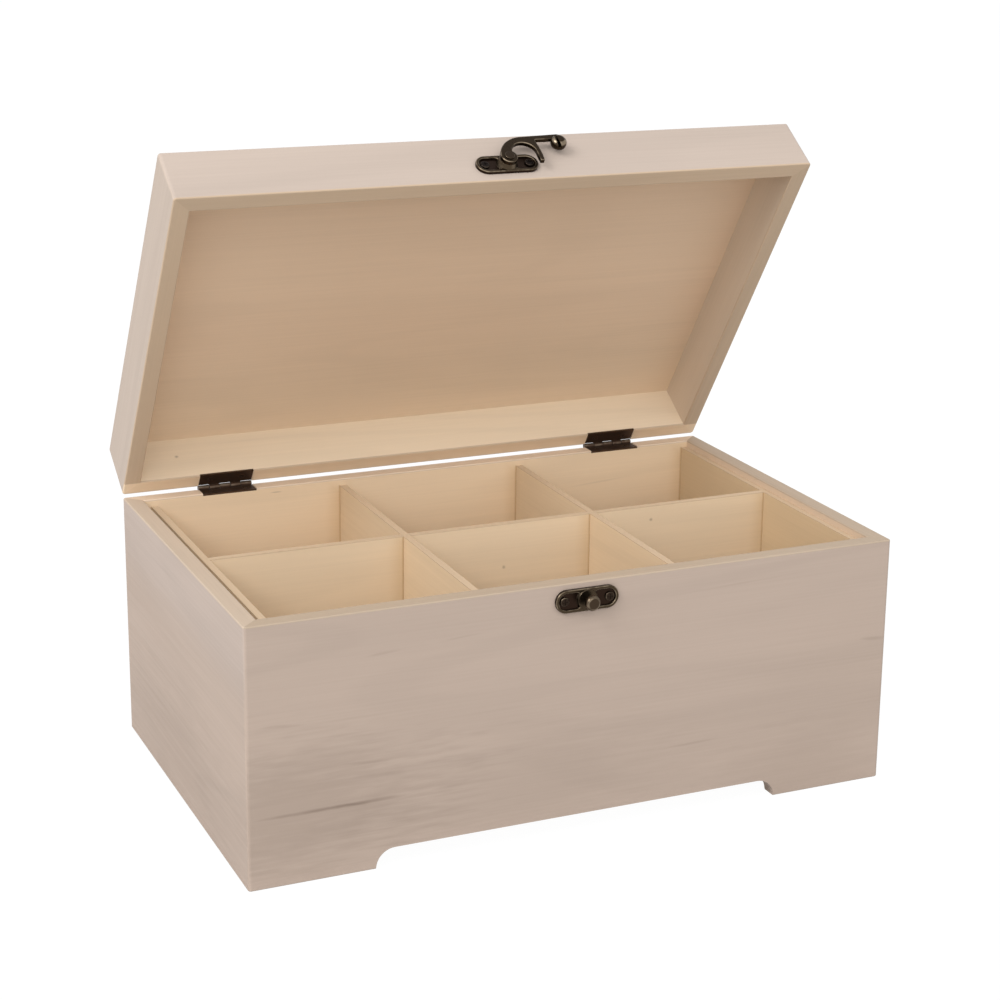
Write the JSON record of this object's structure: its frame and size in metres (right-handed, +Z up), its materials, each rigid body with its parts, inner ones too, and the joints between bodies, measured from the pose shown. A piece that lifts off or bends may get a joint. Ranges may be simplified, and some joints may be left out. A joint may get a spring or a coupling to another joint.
{
  "type": "compartment storage box",
  "caption": "Low wooden storage box on arched feet, with a hinged lid standing half open, a swing hook latch and a drop-in grid of thin boards that divides it.",
  "frame": {"origin": "on the ground, under the middle of everything as it stands at rest, lid half open", "axes": "+X to the right seen from the front, +Y from the front to the back, +Z up"},
  "size_m": [0.29, 0.2114, 0.2779],
  "materials": {
    "box_wood": "pale pine, planed, unvarnished",
    "insert_wood": "thin pale plywood",
    "floor_wood": "thin pale plywood",
    "lid_wood": "pale pine, planed, unvarnished",
    "lid_panel_wood": "thin pale plywood",
    "hinge_metal": "antiqued, dark brown with worn edges",
    "latch_metal": "antiqued, dark brown with worn edges",
    "screw_metal": "bronzed"
  },
  "bodies": {
    "box": {"front_wall": "box_wood", "back_wall": "box_wood", "left_wall": "box_wood", "right_wall": "box_wood", "floor_panel": "floor_wood", "left_end_board": "insert_wood", "right_end_board": "insert_wood", "long_divider": "insert_wood", "left_cross_divider": "insert_wood", "right_cross_divider": "insert_wood", "catch_plate": "latch_metal", "catch_post": "latch_metal", "catch_screws": "screw_metal", "left_hinge_box_leaf": "hinge_metal", "right_hinge_box_leaf": "hinge_metal", "left_hinge_pin": "hinge_metal", "right_hinge_pin": "hinge_metal", "hinge_box_screws": "screw_metal"},
    "lid": {"lid_front_rail": "lid_wood", "lid_back_rail": "lid_wood", "lid_left_rail": "lid_wood", "lid_right_rail": "lid_wood", "lid_panel": "lid_panel_wood", "left_hinge_lid_leaf": "hinge_metal", "right_hinge_lid_leaf": "hinge_metal", "hinge_lid_screws": "screw_metal", "latch_plate": "latch_metal", "latch_rivet": "latch_metal", "latch_screws": "screw_metal"},
    "hook": {"latch_hook": "latch_metal"}
  },
  "joints": [
    {"name": "lid_hinge", "type": "hinge", "parent": "box", "child": "lid", "pos_m": [0, 0.08412, 0.11065], "axis": [-1, 0, 0], "range_deg": [-56, 124]},
    {"name": "latch_swing", "type": "hinge", "parent": "lid", "child": "hook", "pos_m": [0.0005, -0.0101, 0.26669], "axis": [0, -0.5592, 0.829], "range_deg": [-103, 217]}
  ]
}
